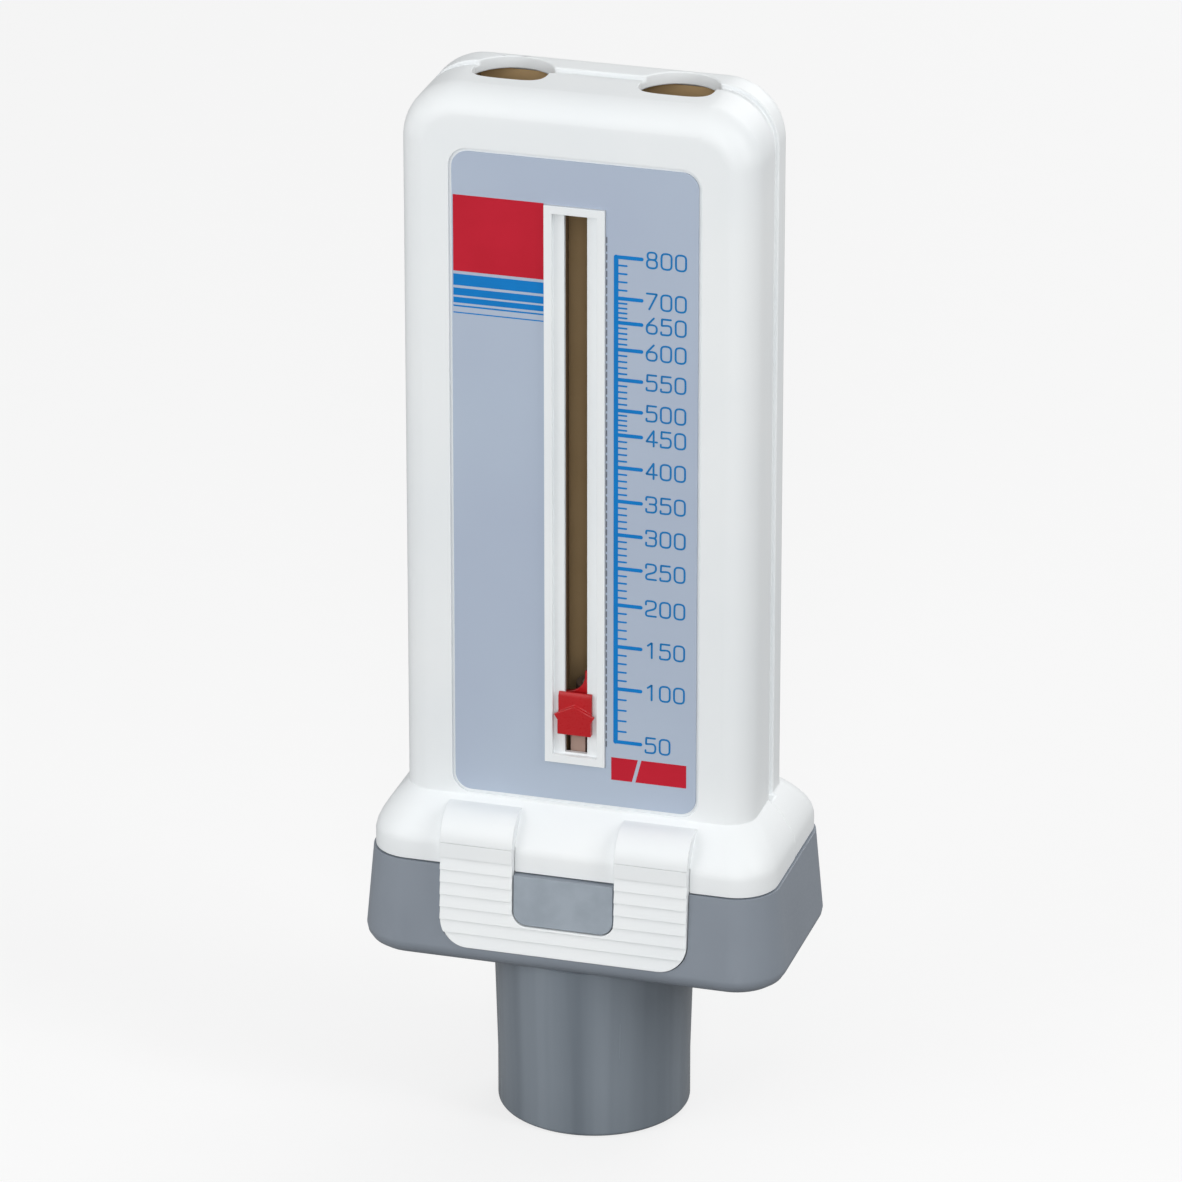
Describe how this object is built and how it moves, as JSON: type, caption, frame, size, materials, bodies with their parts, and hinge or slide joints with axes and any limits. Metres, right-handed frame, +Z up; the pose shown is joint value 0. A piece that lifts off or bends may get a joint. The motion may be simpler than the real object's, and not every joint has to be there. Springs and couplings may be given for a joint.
{
  "type": "peak flow meter",
  "caption": "Handheld meter for breathing out: a tall two-shell case with a slotted scale and sliding pointer, a clip-on tapered foot and a round inlet stub.",
  "frame": {"origin": "centre of the open end of the inlet stub, on the surface it stands on", "axes": "+Z up along the stub and the case, the printed face towards -Y, +X to the right seen from the front"},
  "size_m": [0.0624, 0.0331, 0.157],
  "materials": {
    "casing_white": "satin moulded",
    "label_film": "printed film",
    "duct_brown": "moulded",
    "piston_plastic": "moulded",
    "bush_plastic": "turned",
    "pointer_red": "moulded",
    "base_grey": "satin moulded",
    "stub_grey": "polished moulded",
    "steel": "drawn",
    "soft_rubber": "matt"
  },
  "bodies": {
    "casing": {"front_casing": "casing_white", "rear_casing": "casing_white", "scale_label": "label_film", "flow_duct": "duct_brown", "duct_back_plate": "duct_brown", "duct_screws": "steel", "guide_rod": "steel", "lower_rod_clip": "steel", "upper_rod_clip": "steel", "inlet_grid": "duct_brown", "return_spring": "steel", "top_buffer": "soft_rubber", "base_housing": "base_grey", "inlet_stub": "stub_grey", "base_seal": "soft_rubber"},
    "piston": {"piston_vane": "piston_plastic", "piston_bush": "bush_plastic"},
    "slider": {"pointer": "pointer_red", "pointer_keeper": "pointer_red"},
    "latch": {"base_latch": "casing_white"}
  },
  "joints": [
    {"name": "piston_slide", "type": "slide", "parent": "casing", "child": "piston", "axis": [0, 0, 1], "range_m": [0, 0.072], "stiffness_N_per_m": 5, "springref_m": -0.02, "deforming": ["return_spring"]},
    {"name": "pointer_slide", "type": "slide", "parent": "casing", "child": "slider", "axis": [0, 0, 1], "range_m": [0, 0.072]},
    {"name": "latch_flex", "type": "hinge", "parent": "casing", "child": "latch", "pos_m": [0, -0.01605, 0.04525], "axis": [-1, 0, 0], "range_deg": [0, 9], "stiffness_Nm_per_rad": 0.01}
  ],
  "couplings": [
    {"joint": "pointer_slide", "follows": "piston_slide", "ratio": 1}
  ]
}
